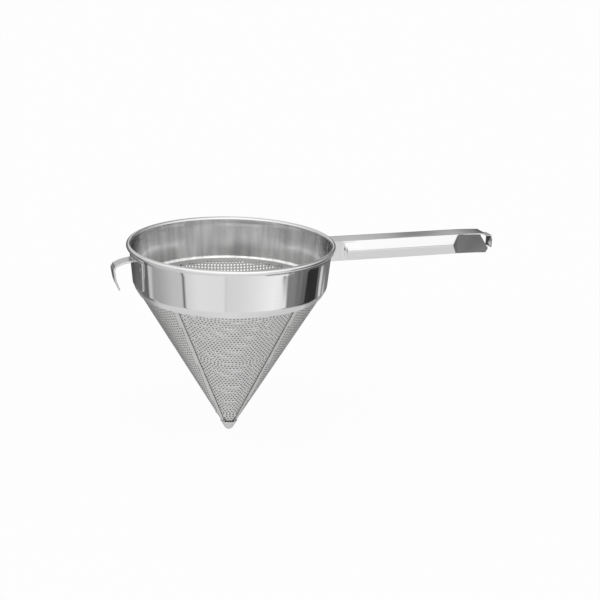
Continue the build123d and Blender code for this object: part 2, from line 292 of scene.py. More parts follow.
def bake(piece):
    seen = piece.evaluated_get(bpy.context.evaluated_depsgraph_get())
    mesh = bpy.data.meshes.new_from_object(seen)
    old = piece.data
    piece.modifiers.clear()
    piece.data = mesh
    bpy.data.meshes.remove(old)
    return piece


def make_piece(name, vertices, faces, finish):
    mesh = bpy.data.meshes.new(name)
    mesh.from_pydata([Vector(v) for v in vertices], [], faces)
    mesh.materials.append(finish)
    piece = bpy.data.objects.new(name, mesh)
    bpy.context.scene.collection.objects.link(piece)
    return piece


def turn_outwards(mesh, merge=1e-6):
    work = bmesh.new()
    work.from_mesh(mesh)
    bmesh.ops.remove_doubles(work, verts=work.verts, dist=merge)
    bmesh.ops.recalc_face_normals(work, faces=work.faces)
    work.to_mesh(mesh)
    work.free()


def dress(piece, finish_slot, *nodes):
    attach(piece, "root")
    if nodes:
        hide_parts(*nodes)
    triangles = sum(len(face.vertices) - 2 for face in piece.data.polygons)
    print(piece.name, "stands for", nodes, "with", triangles, "triangles")


# %% [markdown]
# ## Rim band
# The band is one strip of sheet, rolled into a ring: its upper edge is curled round a wire,
# its wall tapers a little, and its lower edge turns in as a rounded shoulder with a conical
# lip. A lathe is the natural tool, because every section is the same. The profile is drawn
# as a closed outline of the sheet, with arcs for the curl, the wall's blend and the shoulder.


# %% Lathe helper
def lathe(name, profile, finish, steps):
    vertices, faces = [], []
    ring = len(profile)
    for step in range(steps):
        turn = 2 * math.pi * step / steps
        for radius, height in profile:
            vertices.append((
                radius * MM * math.cos(turn), radius * MM * math.sin(turn), height * MM))
    for step in range(steps):
        ahead = (step + 1) % steps
        for place in range(ring):
            following = (place + 1) % ring
            faces.append((
                step * ring + place, ahead * ring + place,
                ahead * ring + following, step * ring + following))
    piece = make_piece(name, vertices, faces, finish)
    turn_outwards(piece.data)
    mark_folds(piece.data, 30)
    return piece


def arc(centre, radius, start, stop, count):
    points = []
    for step in range(count + 1):
        angle = math.radians(start + (stop - start) * step / count)
        points.append((
            centre[0] + radius * math.cos(angle), centre[1] + radius * math.sin(angle)))
    return points


# %% Band profile and band
wall_top = 98.2
sheet = 0.8
curl_hole = 1.65
curl_centre = (wall_top + curl_hole, 0)
draft = 5.5
straight_wall = 5.0
blend = 60.0
blend_centre = (wall_top - blend, blend * math.tan(math.radians(draft / 2)) - straight_wall)
foot_height = -37.8
foot_radius = wall_top + (foot_height + straight_wall) * math.tan(math.radians(draft))
shoulder = 8.0
shoulder_centre = (
    foot_radius - shoulder * math.cos(math.radians(draft)),
    foot_height + shoulder * math.sin(math.radians(draft)),
)
cone_degrees = math.degrees(cone_lean)
shoulder_end = arc(shoulder_centre, shoulder, -cone_degrees, -cone_degrees, 1)[0]
lip_length = 5.4
lip_end = (
    shoulder_end[0] - lip_length * math.sin(cone_lean),
    shoulder_end[1] - lip_length * math.cos(cone_lean))
lip_inside = (lip_end[0] - sheet * math.cos(cone_lean), lip_end[1] + sheet * math.sin(cone_lean))
curl_end = -128
clear_of_box = 0.02
outer_curl = arc(curl_centre, curl_hole + sheet - clear_of_box, curl_end, 180, 44)
inner_curl = arc(curl_centre, curl_hole, 180, curl_end, 36)
band_profile = (
    outer_curl
    + arc(blend_centre, blend - sheet, 0, -draft, 8)
    + arc(shoulder_centre, shoulder - sheet, -draft, -cone_degrees, 12)
    + [lip_inside, lip_end]
    + arc(shoulder_centre, shoulder, -cone_degrees, -draft, 12)
    + arc(blend_centre, blend, -draft, 0, 8)
    + inner_curl
)
band = lathe("rim_band", band_profile, buffed_band, steps=320)
band.data.materials.append(soft_inside)
inside_below = -0.001
for face in band.data.polygons:
    outward = Vector((face.center.x, face.center.y, 0)).normalized()
    if face.normal.dot(outward) < -0.3 and face.center.z < inside_below:
        face.material_index = 1
dress(band, "polished", "band")
print("lip edge at radius", round(lip_end[0], 2), "height", round(lip_end[1], 2))

# %% [markdown]
# ## Perforated panels
# The cone is cut from flat perforated sheet, in four sectors that are rolled and lapped: two
# inner ones, front and back, under the edges of two outer ones. Thousands of real holes make
# its look, so they are real here too. The holes stand in staggered rows on the flat sheet. A
# Geometry Nodes tree lays them out on the flat sector, fills the sheet between the holes and
# the outline, and wraps the result round the cone, as the maker's rolls do.

# %% Cone measures
seat_gap = 0.05
cone_sheet = 0.7
apex_height = (
    lip_inside[1] - lip_inside[0] / math.tan(cone_lean) + seat_gap / math.sin(cone_lean))
lip_slant = (lip_inside[0] - seat_gap * math.cos(cone_lean)) / math.sin(cone_lean)
panel_drop = 0.5
top_slant = lip_slant + lip_length - panel_drop
foot_slant = 12.5


def on_cone(slant, depth):
    return (
        slant * math.sin(cone_lean) - depth * math.cos(cone_lean),
        apex_height + slant * math.cos(cone_lean) + depth * math.sin(cone_lean),
    )


print("apex at", round(apex_height, 2), "panel slants", foot_slant, round(top_slant, 2))


# %% Helper for Geometry Nodes trees
def new_rule(name, inputs):
    tree = bpy.data.node_groups.new(name, "GeometryNodeTree")
    tree.is_modifier = True
    add_inputs(tree, [("Geometry", "NodeSocketGeometry", None)])
    identifiers = add_inputs(tree, inputs)
    tree.interface.new_socket(
        name="Geometry", in_out="OUTPUT", socket_type="NodeSocketGeometry")
    ends = tree.nodes.new("NodeGroupInput"), tree.nodes.new("NodeGroupOutput")
    return tree, identifiers, *ends


# %% Start the perforation tree
perforate, panel_inputs, given, result = new_rule("perforated_sector", [
    ("Hole Pitch", "NodeSocketFloat", 3.5),
    ("Hole Radius", "NodeSocketFloat", 1.0),
    ("Hole Sides", "NodeSocketInt", 10),
    ("Side Margin", "NodeSocketFloat", 3.0),
    ("Foot Margin", "NodeSocketFloat", 3.0),
    ("Top Margin", "NodeSocketFloat", 2.6),
    ("Foot Slant", "NodeSocketFloat", 12.5),
    ("Top Slant", "NodeSocketFloat", 185.0),
    ("Half Sector", "NodeSocketFloat", 0.4),
    ("Cone Half Angle", "NodeSocketFloat", 0.53),
    ("Apex Height", "NodeSocketFloat", -200.0),
    ("Depth", "NodeSocketFloat", 0.0),
    ("Azimuth", "NodeSocketFloat", 0.0),
    ("Row Shift", "NodeSocketFloat", 0.0),
    ("Material", "NodeSocketMaterial", None),
])


def g(label):
    return given.outputs[label]


def link(source, target):
    perforate.links.new(source, target)


def calc(operation, first, second=None):
    return math_node(perforate, operation, first, second)


# %% Lay the staggered rows on the flat
row_step = calc("MULTIPLY", g("Hole Pitch"), math.sqrt(3) / 2)
lattice = node(perforate, "GeometryNodeMeshGrid")
columns, rows = 125, 66
lattice.inputs["Vertices X"].default_value = columns
lattice.inputs["Vertices Y"].default_value = rows
link(calc("MULTIPLY", g("Hole Pitch"), columns - 1), lattice.inputs["Size X"])
link(calc("MULTIPLY", row_step, rows - 1), lattice.inputs["Size Y"])
where = node(perforate, "GeometryNodeInputPosition")
split = node(perforate, "ShaderNodeSeparateXYZ")
link(where.outputs[0], split.inputs[0])
row_number = calc("ROUND", calc("DIVIDE", split.outputs["Y"], row_step))
odd = calc("FLOORED_MODULO", row_number, 2)
stagger = calc("MULTIPLY", calc("MULTIPLY", odd, 0.5), g("Hole Pitch"))
half_height = calc("MULTIPLY", row_step, (rows - 1) / 2)
raised = calc("ADD", calc("ADD", split.outputs["Y"], half_height), g("Row Shift"))
place = node(perforate, "ShaderNodeCombineXYZ")
link(calc("ADD", split.outputs["X"], stagger), place.inputs["X"])
link(raised, place.inputs["Y"])
laid = node(perforate, "GeometryNodeSetPosition")
link(lattice.outputs["Mesh"], laid.inputs["Geometry"])
link(place.outputs[0], laid.inputs["Position"])

# %% Keep the holes that clear the sheet's edges
spot = node(perforate, "GeometryNodeInputPosition")
parts = node(perforate, "ShaderNodeSeparateXYZ")
link(spot.outputs[0], parts.inputs[0])
reach = node(perforate, "ShaderNodeVectorMath", operation="LENGTH")
link(spot.outputs[0], reach.inputs[0])
slant_here = reach.outputs["Value"]
angle_here = calc("ARCTAN2", parts.outputs["X"], parts.outputs["Y"])
spare = calc("SUBTRACT", g("Half Sector"), calc("ABSOLUTE", angle_here))
side_room = calc("MULTIPLY", slant_here, calc("SINE", spare))
low = calc("ADD", calc("ADD", g("Foot Slant"), g("Foot Margin")), g("Hole Radius"))
high = calc("SUBTRACT", calc("SUBTRACT", g("Top Slant"), g("Top Margin")), g("Hole Radius"))
fails = calc("ADD", calc("LESS_THAN", slant_here, low), calc("GREATER_THAN", slant_here, high))
beside = calc("LESS_THAN", side_room, calc("ADD", g("Side Margin"), g("Hole Radius")))
outside = calc("GREATER_THAN", calc("ADD", calc("ADD", fails, beside),
                                    calc("LESS_THAN", spare, 0.0)), 0.5)
kept = node(perforate, "GeometryNodeDeleteGeometry", domain="POINT")
link(laid.outputs["Geometry"], kept.inputs["Geometry"])
link(outside, kept.inputs["Selection"])

# %% Cut the holes, wrap the sector round the cone
punch = node(perforate, "GeometryNodeCurvePrimitiveCircle")
link(g("Hole Sides"), punch.inputs["Resolution"])
link(g("Hole Radius"), punch.inputs["Radius"])
punched = node(perforate, "GeometryNodeInstanceOnPoints")
link(kept.outputs["Geometry"], punched.inputs["Points"])
link(punch.outputs["Curve"], punched.inputs["Instance"])
real_holes = node(perforate, "GeometryNodeRealizeInstances")
link(punched.outputs["Instances"], real_holes.inputs["Geometry"])
edge_curve = node(perforate, "GeometryNodeMeshToCurve")
link(given.outputs["Geometry"], edge_curve.inputs["Mesh"])
joined = node(perforate, "GeometryNodeJoinGeometry")
link(real_holes.outputs["Geometry"], joined.inputs[0])
link(edge_curve.outputs["Curve"], joined.inputs[0])
filled = node(perforate, "GeometryNodeFillCurve")
link(joined.outputs[0], filled.inputs["Curve"])
flat = node(perforate, "GeometryNodeInputPosition")
flat_parts = node(perforate, "ShaderNodeSeparateXYZ")
link(flat.outputs[0], flat_parts.inputs[0])
flat_reach = node(perforate, "ShaderNodeVectorMath", operation="LENGTH")
link(flat.outputs[0], flat_reach.inputs[0])
sine, cosine = calc("SINE", g("Cone Half Angle")), calc("COSINE", g("Cone Half Angle"))
flat_angle = calc("ARCTAN2", flat_parts.outputs["X"], flat_parts.outputs["Y"])
turn = calc("ADD", calc("DIVIDE", flat_angle, sine), g("Azimuth"))
radius = calc("SUBTRACT", calc("MULTIPLY", flat_reach.outputs["Value"], sine),
              calc("MULTIPLY", g("Depth"), cosine))
height = calc("ADD", calc("ADD", calc("MULTIPLY", flat_reach.outputs["Value"], cosine),
                          calc("MULTIPLY", g("Depth"), sine)), g("Apex Height"))
wrapped = node(perforate, "ShaderNodeCombineXYZ")
link(calc("MULTIPLY", radius, calc("COSINE", turn)), wrapped.inputs["X"])
link(calc("MULTIPLY", radius, calc("SINE", turn)), wrapped.inputs["Y"])
link(height, wrapped.inputs["Z"])
metres = node(perforate, "ShaderNodeVectorMath", operation="SCALE")
metres.inputs["Scale"].default_value = MM
link(wrapped.outputs[0], metres.inputs[0])
rolled = node(perforate, "GeometryNodeSetPosition")
link(filled.outputs["Mesh"], rolled.inputs["Geometry"])
link(metres.outputs["Vector"], rolled.inputs["Position"])
whole = node(perforate, "GeometryNodeRealizeInstances")
link(rolled.outputs["Geometry"], whole.inputs["Geometry"])
painted = node(perforate, "GeometryNodeSetMaterial")
link(whole.outputs["Geometry"], painted.inputs["Geometry"])
link(g("Material"), painted.inputs["Material"])
link(painted.outputs["Geometry"], result.inputs["Geometry"])
print("perforation tree with", len(perforate.nodes), "nodes")


# %% Roll the four panels
def flat_outline(half_sector, corner):
    points = []
    top_steps, side_steps, foot_steps = 90, 60, 8
    trim = corner / top_slant
    for step in range(top_steps + 1):
        angle = (half_sector - trim) * (1 - 2 * step / top_steps)
        points.append((top_slant, angle))
    for step in range(side_steps + 1):
        slant = top_slant - corner - (top_slant - corner - foot_slant) * step / side_steps
        points.append((slant, -half_sector))
    for step in range(1, foot_steps):
        points.append((foot_slant, -half_sector + 2 * half_sector * step / foot_steps))
    for step in range(side_steps + 1):
        slant = foot_slant + (top_slant - corner - foot_slant) * step / side_steps
        points.append((slant, half_sector))
    return [(s * math.sin(a), s * math.cos(a), 0) for s, a in points]


def roll_panel(name, span, azimuth, depth, side_margin, row_shift):
    half_sector = math.radians(span / 2) * math.sin(cone_lean)
    outline = flat_outline(half_sector, corner=2.0)
    mesh = bpy.data.meshes.new(name)
    count = len(outline)
    mesh.from_pydata(outline, [(i, (i + 1) % count) for i in range(count)], [])
    piece = bpy.data.objects.new(name, mesh)
    bpy.context.scene.collection.objects.link(piece)
    rolls = piece.modifiers.new("perforate", "NODES")
    rolls.node_group = perforate
    for label, value in (
        ("Side Margin", side_margin), ("Foot Slant", foot_slant),
        ("Top Slant", top_slant), ("Half Sector", half_sector),
        ("Cone Half Angle", cone_lean), ("Apex Height", apex_height), ("Depth", depth),
        ("Azimuth", math.radians(azimuth)), ("Row Shift", row_shift),
        ("Material", satin_sheet),
    ):
        rolls[panel_inputs[label]] = value
    bake(piece)
    sample = piece.data.polygons[0]
    outward = Vector((sample.center.x, sample.center.y, 0))
    if sample.normal.dot(outward) < 0:
        piece.data.flip_normals()
    thicken = piece.modifiers.new("sheet", "SOLIDIFY")
    thicken.thickness = cone_sheet * MM
    thicken.offset = -1
    # The inner faces and every cut edge, hole walls included, take the darker painted-shade
    # steel.
    piece.data.materials.append(painted_shade_sheet)
    thicken.material_offset = 1
    thicken.material_offset_rim = 1
    bake(piece)
    mark_folds(piece.data, 40)
    return piece


lap_width = 5.0
lap = math.degrees(lap_width / (top_slant * math.sin(cone_lean)))
inner_seen, outer_span = 74.0, 106.0
front_middle = 258.5
inner = {
    "span": inner_seen + 2 * lap, "depth": cone_sheet + seat_gap,
    "side_margin": 1.0, "row_shift": 0.0}
outer = {"span": outer_span, "depth": 0.0, "side_margin": 3.0, "row_shift": 1.1}
for name, azimuth, sizes, cad in (
    ("front_panel", front_middle, inner, "panel_front"),
    ("back_panel", front_middle - 180, inner, "panel_back"),
    ("handle_side_panel", front_middle + 90, outer, "panel_handle_side"),
    ("hook_side_panel", front_middle - 90, outer, "panel_hook_side"),
):
    panel = roll_panel(name, azimuth=azimuth, **sizes)
    dress(panel, "satin", cad)

# %% [markdown]
# ## Tip cup
# A small drawn cup closes the cone, where the ends of the panels would come apart in use. It
# is turned like the band: a short cone, then a round end. Its rim is a little thicker, since
# it is crimped over the panels' feet.

# %% Turn the tip cup
cup_sheet = 0.8
cup_out = seat_gap + cup_sheet
tip_radius = 4.9
tip_height = apex_height - cup_out / math.sin(cone_lean) + tip_radius / math.sin(cone_lean)
cup_rim, rim_crown = 15.6, 15.75
pole = -89.5
cup_profile = (
    [on_cone(cup_rim, -seat_gap), on_cone(rim_crown, -(seat_gap + cup_sheet / 2)),
     on_cone(cup_rim, -cup_out)]
    + arc((0, tip_height), tip_radius, -cone_degrees, pole, 16)
    + arc((0, tip_height), tip_radius - cup_sheet, pole, -cone_degrees, 16)
)
cup = lathe("tip_cup_shell", cup_profile, satin_sheet, steps=64)
dress(cup, "satin", "tip_cup")

# %% [markdown]
# ## Handle
# The handle is pressed from one sheet into a channel, open underneath: a flat web on top and
# two walls that swell outwards to a ridge at half height. At both ends the walls are crimped
# flat. At the far end they are cut on a slant, and the web runs on as a narrower tab that
# steps down and folds over the end. The sheet is built as a grid of stations along the
# handle by points round the section, and Solidify gives it its thickness.

# %% Handle section
half_web = 10.5
web_height = -0.6
wall_drop = 20.5
ridge_drop = 9.8
ridge_swell = 4.0
bend_radius = 1.2
handle_sheet = 1.2
flat_half = half_web - 0.3


def half_section():
    points = []
    for step in range(9):
        points.append((step * (half_web - bend_radius) / 8, 0.0))
    for step in range(1, 6):
        angle = math.radians(90 - 84 * step / 5)
        points.append((
            half_web - bend_radius + bend_radius * math.cos(angle),
            -bend_radius + bend_radius * math.sin(angle)))
    for step in range(1, 13):
        share = step / 12
        points.append((None, -bend_radius - (ridge_drop - bend_radius) * share))
    for step in range(1, 15):
        share = step / 14
        points.append((None, -ridge_drop - (wall_drop - ridge_drop) * share))
    return points


def swollen(drop):
    if drop > -ridge_drop:
        share = (-drop - bend_radius) / (ridge_drop - bend_radius)
    else:
        share = (wall_drop + drop) / (wall_drop - ridge_drop)
    soft = 0.06
    share = share - soft * math.exp(-((1 - share) / soft) ** 2)
    return half_web + ridge_swell * share


def soft_min(first, second, softness):
    gap = first - second
    return (first + second - math.sqrt(gap * gap + softness * softness)) / 2


# %% Where the walls swell and where the handle ends
root_crimp, root_run, root_free = 113.3, 6.0, 117.0
far_crimp, far_run, far_free = 239.8, 12.0, 228.0
bead_radius = 2.45
root_bite = 0.15
cut_depth, cut_top, cut_run, cut_back = 16.0, 265.8, 10.2, 2.6


def plan_limit(x):
    if x < root_free:
        return flat_half + 2 * ridge_swell * max(0.0, (x - root_crimp) / root_run)
    if x > far_free:
        return flat_half + 2 * ridge_swell * max(0.0, (far_crimp - x) / far_run)
    return flat_half + 2 * ridge_swell


def wall_line(height):
    slope = math.tan(math.radians(draft))
    return min(wall_top, foot_radius + (height - foot_height) * slope)


def root_x(y, z):
    if z > -bead_radius:
        rim = curl_centre[0] + math.sqrt(max(0.0, bead_radius ** 2 - z * z))
    else:
        rim = wall_line(z)
    return math.sqrt(rim * rim - y * y) - root_bite


def wall_end_x(drop):
    if drop > -cut_depth:
        share = max(0.0, (-drop - handle_sheet)) / (cut_depth - handle_sheet)
        return cut_top + cut_run * share
    return cut_top + cut_run - cut_back * (-drop - cut_depth) / (wall_drop - cut_depth)


# %% Handle grid
right_half = half_section()
section = [(-1, y, d) for y, d in reversed(right_half[1:])]
section += [(1, y, d) for y, d in right_half]
stations = [0.0, 4.0, 8.0, 10.0]
stations += [11.5 + 0.5 * step for step in range(20)]
stations += [22.0 + 6.0 * step for step in range(17)]
stations += [124.0 + 0.75 * step for step in range(26)]
stations += [145.5, 150.0, 156.0, 162.0, 168.0]
start_x, web_end = 102.0, 271.8
last_x = start_x + stations[-1]
soft_until, soft_crease, sharp_crease = 130.0, 3.0, 0.25
sag_start, sag_run, sag_depth = 240.0, 30.0, 0.9
fitted_from = 244.0
grid = []
for station in stations:
    row = []
    for side, y, drop in section:
        x = start_x + station
        if y is None:
            swell_y = swollen(drop)
            crease = soft_crease if x < soft_until else sharp_crease
            y_here = soft_min(swell_y, plan_limit(x), crease)
            y_here = max(y_here, min(flat_half, swell_y))
            end = wall_end_x(drop)
        else:
            y_here = min(y, flat_half) if plan_limit(x) <= half_web else y
            end = web_end if drop > -0.4 else wall_end_x(drop)
        z = web_height + drop
        sag = max(0.0, x - sag_start) / sag_run
        z -= sag_depth * sag * sag
        if station == 0.0:
            x = root_x(y_here, z)
        elif x > fitted_from:
            x = fitted_from + (end - fitted_from) * (x - fitted_from) / (last_x - fitted_from)
        row.append((x, side * y_here, z))
    grid.append(row)
width = len(section)
vertices = [tuple(c * MM for c in point) for row in grid for point in row]
faces = []
for r in range(len(grid) - 1):
    for c in range(width - 1):
        faces.append((
            r * width + c, (r + 1) * width + c, (r + 1) * width + c + 1, r * width + c + 1))
print("handle grid", len(grid), "stations by", width, "points")

# %% Folded tab at the far end
step_run, step_down = 4.2, 3.0
tab_start, fold_start, tab_end = 276.0, 280.0, 282.4
fold_radius, fold_foot, tab_foot, tab_half = 2.4, 5.4, 17.0, 6.2
web_above = web_height - sag_depth * 1.2 - 0.2
last_row = [point for point in grid[-1] if point[2] > web_above]
tab_path = []
for step in range(7):
    share = step / 6
    ease = share * share * (3 - 2 * share)
    tab_path.append((web_end + step_run * share, -step_down * ease, ease))
for step in range(1, 4):
    tab_path.append((tab_start + (fold_start - tab_start) * step / 3, -step_down, 1.0))
for step in range(1, 8):
    angle = math.radians(90 * step / 7)
    tab_path.append((
        fold_start + fold_radius * math.sin(angle),
        -step_down - fold_radius * (1 - math.cos(angle)), 1.0))
for step in range(1, 5):
    fall = (tab_foot - fold_foot + web_height) * step / 4
    tab_path.append((tab_end, -fold_foot - fall, 1.0))
base = len(vertices)
count = len(last_row)
for step, (x, drop, narrow) in enumerate(tab_path):
    for px, py, pz in last_row:
        y = py * (1 - narrow) + py * tab_half / half_web * narrow
        vertices.append((x * MM if step else px * MM, y * MM, (pz + drop) * MM))
for r in range(len(tab_path) - 1):
    for c in range(count - 1):
        a = base + r * count + c
        faces.append((a, a + count, a + count + 1, a + 1))
handle = make_piece("pressed_handle", vertices, faces, polished_handle)
turn_outwards(handle.data, 2e-5)
top_face = max(handle.data.polygons, key=lambda f: f.center.z)
if top_face.normal.z < 0:
    handle.data.flip_normals()
thick = handle.modifiers.new("sheet", "SOLIDIFY")
thick.thickness = handle_sheet * MM
thick.offset = -1
bake(handle)
mark_folds(handle.data, 38)
dress(handle, "polished", "handle")

# %% [markdown]
# ## Rest hook
# A plate bent round the band is held by four spot welds and carries a strap. The strap runs
# out over the edge of the pot and turns down in two small bends to a leg that bows back and
# narrows to its tip. The width changes along it, so its section is placed station by station.


# %% Sweep the strap
def bent_path(points, radii, steps):
    path = [points[0]]
    for place in range(1, len(points) - 1):
        before, here, after = (Vector(points[place + k]) for k in (-1, 0, 1))
        inward = (before - here).normalized()
        onward = (after - here).normalized()
        half = inward.angle(onward) / 2
        length = radii[place - 1] / math.tan(half)
        start, stop = here + inward * length, here + onward * length
        centre = here + (inward + onward).normalized() * radii[place - 1] / math.sin(half)
        for step in range(steps + 1):
            share = step / steps
            spoke = (start - centre).slerp(stop - centre, share).normalized()
            path.append(tuple(centre + spoke * radii[place - 1]))
    path.append(points[-1])
    return path


strap = 1.6
strap_root = -9.3
hook_points = [(-wall_line(strap_root) - seat_gap - strap / 2, strap_root)]
for reach_out, height in (
    (10.2, -11.0), (16.9, -13.9), (18.9, -17.4), (17.3, -28.2), (12.6, -39.4),
):
    hook_points.append((-wall_top - reach_out, height))
hook_path = bent_path(hook_points, radii=[20.0, 1.5, 1.5, 24.0], steps=8)
lengths = [0.0]
for a, b in zip(hook_path, hook_path[1:]):
    lengths.append(lengths[-1] + math.dist(a, b))
total = lengths[-1]
vertices, faces = [], []
rounding = 0.35
tip_half, root_extra, taper_run, tip_round = 4.8, 3.2, 20.0, 2.5
for place, (x, z) in enumerate(hook_path):
    before = Vector(hook_path[max(place - 1, 0)])
    after = Vector(hook_path[min(place + 1, len(hook_path) - 1)])
    along = (after - before).normalized()
    normal = Vector((-along.y, along.x))
    leg = total - lengths[place]
    w, t = tip_half + root_extra * min(1.0, max(0.0, leg / taper_run)), strap / 2
    if leg < tip_round:
        w *= math.sqrt(1 - (1 - leg / tip_round) ** 2) * 0.75 + 0.25
    ring = [
        (w - rounding, t), (w, t - rounding), (w, rounding - t), (w - rounding, -t),
        (rounding - w, -t), (-w, rounding - t), (-w, t - rounding), (rounding - w, t),
    ]
    for y, n in ring:
        vertices.append(((x + normal.x * n) * MM, y * MM, (z + normal.y * n) * MM))
for r in range(len(hook_path) - 1):
    for c in range(8):
        d = (c + 1) % 8
        faces.append((r * 8 + c, r * 8 + d, (r + 1) * 8 + d, (r + 1) * 8 + c))
faces.append(tuple(range(8)))
faces.append(tuple(range((len(hook_path) - 1) * 8, len(hook_path) * 8)))
hook = make_piece("rest_hook", vertices, faces, satin_strap)

# %% Bend the plate round the band
plate_top, plate_foot, plate_sheet = -5.4, -36.0, 0.9
top_half, foot_half, plate_corner = 29.0, 24.4, 3.0
vertices, faces = [], []
plate_rows, plate_columns = 24, 24
for row in range(plate_rows + 1):
    z = plate_top + (plate_foot - plate_top) * row / plate_rows
    half = top_half - (top_half - foot_half) * row / plate_rows
    to_end = min(z - plate_foot, plate_top - z)
    if to_end < plate_corner:
        across_corner = plate_corner ** 2 - (plate_corner - to_end) ** 2
        half -= plate_corner - math.sqrt(max(0.0, across_corner))
    for offset in (seat_gap, seat_gap + plate_sheet):
        around = wall_line(z) + offset
        for column in range(plate_columns + 1):
            y = half * (2 * column / plate_columns - 1)
            vertices.append((-math.sqrt(around ** 2 - y ** 2) * MM, y * MM, z * MM))
span = plate_columns + 1
for row in range(plate_rows):
    for layer in range(2):
        for column in range(plate_columns):
            a = (2 * row + layer) * span + column
            faces.append((a, a + 1, a + 2 * span + 1, a + 2 * span))
    for column in (0, plate_columns):
        a = 2 * row * span + column
        faces.append((a, a + span, a + 3 * span, a + 2 * span))
for row in (0, plate_rows):
    for column in range(plate_columns):
        a = 2 * row * span + column
        faces.append((a, a + 1, a + span + 1, a + span))
plate = make_piece("hook_plate", vertices, faces, satin_strap)
turn_outwards(plate.data)
soft = plate.modifiers.new("soft_edges", "BEVEL")
soft.width = rounding * MM
soft.segments = 2
soft.angle_limit = math.radians(40)
bake(plate)
both = bmesh.new()
both.from_mesh(hook.data)
bmesh.ops.recalc_face_normals(both, faces=both.faces)
both.from_mesh(plate.data)
both.to_mesh(hook.data)
both.free()
bpy.data.objects.remove(plate)
mark_folds(hook.data, 32)
dress(hook, "satin", "hook")

# %% [markdown]
# ## Welds
# Spot welds leave shallow dimples, tack welds leave small domed knots, and the handle is
# joined by a rippled bead up each side. Knots repeat, so one small Geometry Nodes tree puts
# a low dome on each marked point, turned to the surface there. The mesh that goes in holds
# one vertex for each weld, with the way that it faces stored as an attribute.

# %% Tree for weld knots
knots, knot_inputs, k_in, k_out = new_rule("weld_knots", [
    ("Knot Radius", "NodeSocketFloat", 0.0012),
    ("Knot Height", "NodeSocketFloat", 0.4),
    ("Material", "NodeSocketMaterial", None),
])
dome =node(knots, "GeometryNodeMeshUVSphere")
dome.inputs["Segments"].default_value = 16
dome.inputs["Rings"].default_value = 8
knots.links.new(k_in.outputs["Knot Radius"], dome.inputs["Radius"])
squash = node(knots, "GeometryNodeTransform")
flatness = node(knots, "ShaderNodeCombineXYZ")
flatness.inputs["X"].default_value = 1.0
flatness.inputs["Y"].default_value = 1.0
knots.links.new(k_in.outputs["Knot Height"], flatness.inputs["Z"])
knots.links.new(dome.outputs["Mesh"], squash.inputs["Geometry"])
knots.links.new(flatness.outputs[0], squash.inputs["Scale"])
facing = node(knots, "GeometryNodeInputNamedAttribute", data_type="FLOAT_VECTOR")
facing.inputs["Name"].default_value = "facing"
aim = node(knots, "FunctionNodeAlignEulerToVector", axis="Z")
knots.links.new(facing.outputs["Attribute"], aim.inputs["Vector"])
set_knots = node(knots, "GeometryNodeInstanceOnPoints")
knots.links.new(k_in.outputs["Geometry"], set_knots.inputs["Points"])
knots.links.new(squash.outputs["Geometry"], set_knots.inputs["Instance"])
knots.links.new(aim.outputs[0], set_knots.inputs["Rotation"])
real_knots = node(knots, "GeometryNodeRealizeInstances")
knots.links.new(set_knots.outputs["Instances"], real_knots.inputs["Geometry"])
knot_paint = node(knots, "GeometryNodeSetMaterial")
knots.links.new(real_knots.outputs["Geometry"], knot_paint.inputs["Geometry"])
knots.links.new(k_in.outputs["Material"], knot_paint.inputs["Material"])
knots.links.new(knot_paint.outputs["Geometry"], k_out.inputs["Geometry"])
print("weld knot tree with", len(knots.nodes), "nodes")


def set_welds(name, places, radius, flat_share, finish):
    mesh = bpy.data.meshes.new(name)
    mesh.from_pydata([tuple(c * MM for c in p) for p, n in places], [], [])
    way = mesh.attributes.new("facing", "FLOAT_VECTOR", "POINT")
    for item, (p, n) in zip(way.data, places):
        item.vector = n
    piece = bpy.data.objects.new(name, mesh)
    bpy.context.scene.collection.objects.link(piece)
    rule = piece.modifiers.new("knots", "NODES")
    rule.node_group = knots
    rule[knot_inputs["Knot Radius"]] = radius * MM
    rule[knot_inputs["Knot Height"]] = flat_share
    rule[knot_inputs["Material"]] = finish
    bake(piece)
    mark_folds(piece.data, 60)
    return piece


# %% Spot welds on the hook, tacks at the tip
def weld_place(azimuth, radius, height, tilt):
    a = math.radians(azimuth)
    return (
        (radius * math.cos(a), radius * math.sin(a), height),
        (math.cos(tilt) * math.cos(a), math.cos(tilt) * math.sin(a), -math.sin(tilt)))


spot_places = []
for height in (-13.0, -33.2):
    plate_face = wall_line(height) + seat_gap + plate_sheet
    for azimuth in (166.5, 193.5):
        spot_places.append(weld_place(azimuth, plate_face, height, math.radians(draft)))
hook_spots = set_welds(
    "hook_spot_welds", spot_places, radius=2.1, flat_share=0.12, finish=satin_strap)
dress(hook_spots, "weld", "hook_welds")
tack_places = []
for azimuth, slant in (
    (221.5, 18.0), (295.5, 18.0), (41.5, 18.0), (115.5, 18.0), (168.5, 25.5), (348.5, 25.5),
):
    tack_places.append(weld_place(azimuth, *on_cone(slant, 0), cone_lean))
tacks = set_welds(
    "tip_tack_welds", tack_places, radius=1.25, flat_share=0.62, finish=weld_metal)
dress(tacks, "weld", "tip_tacks")

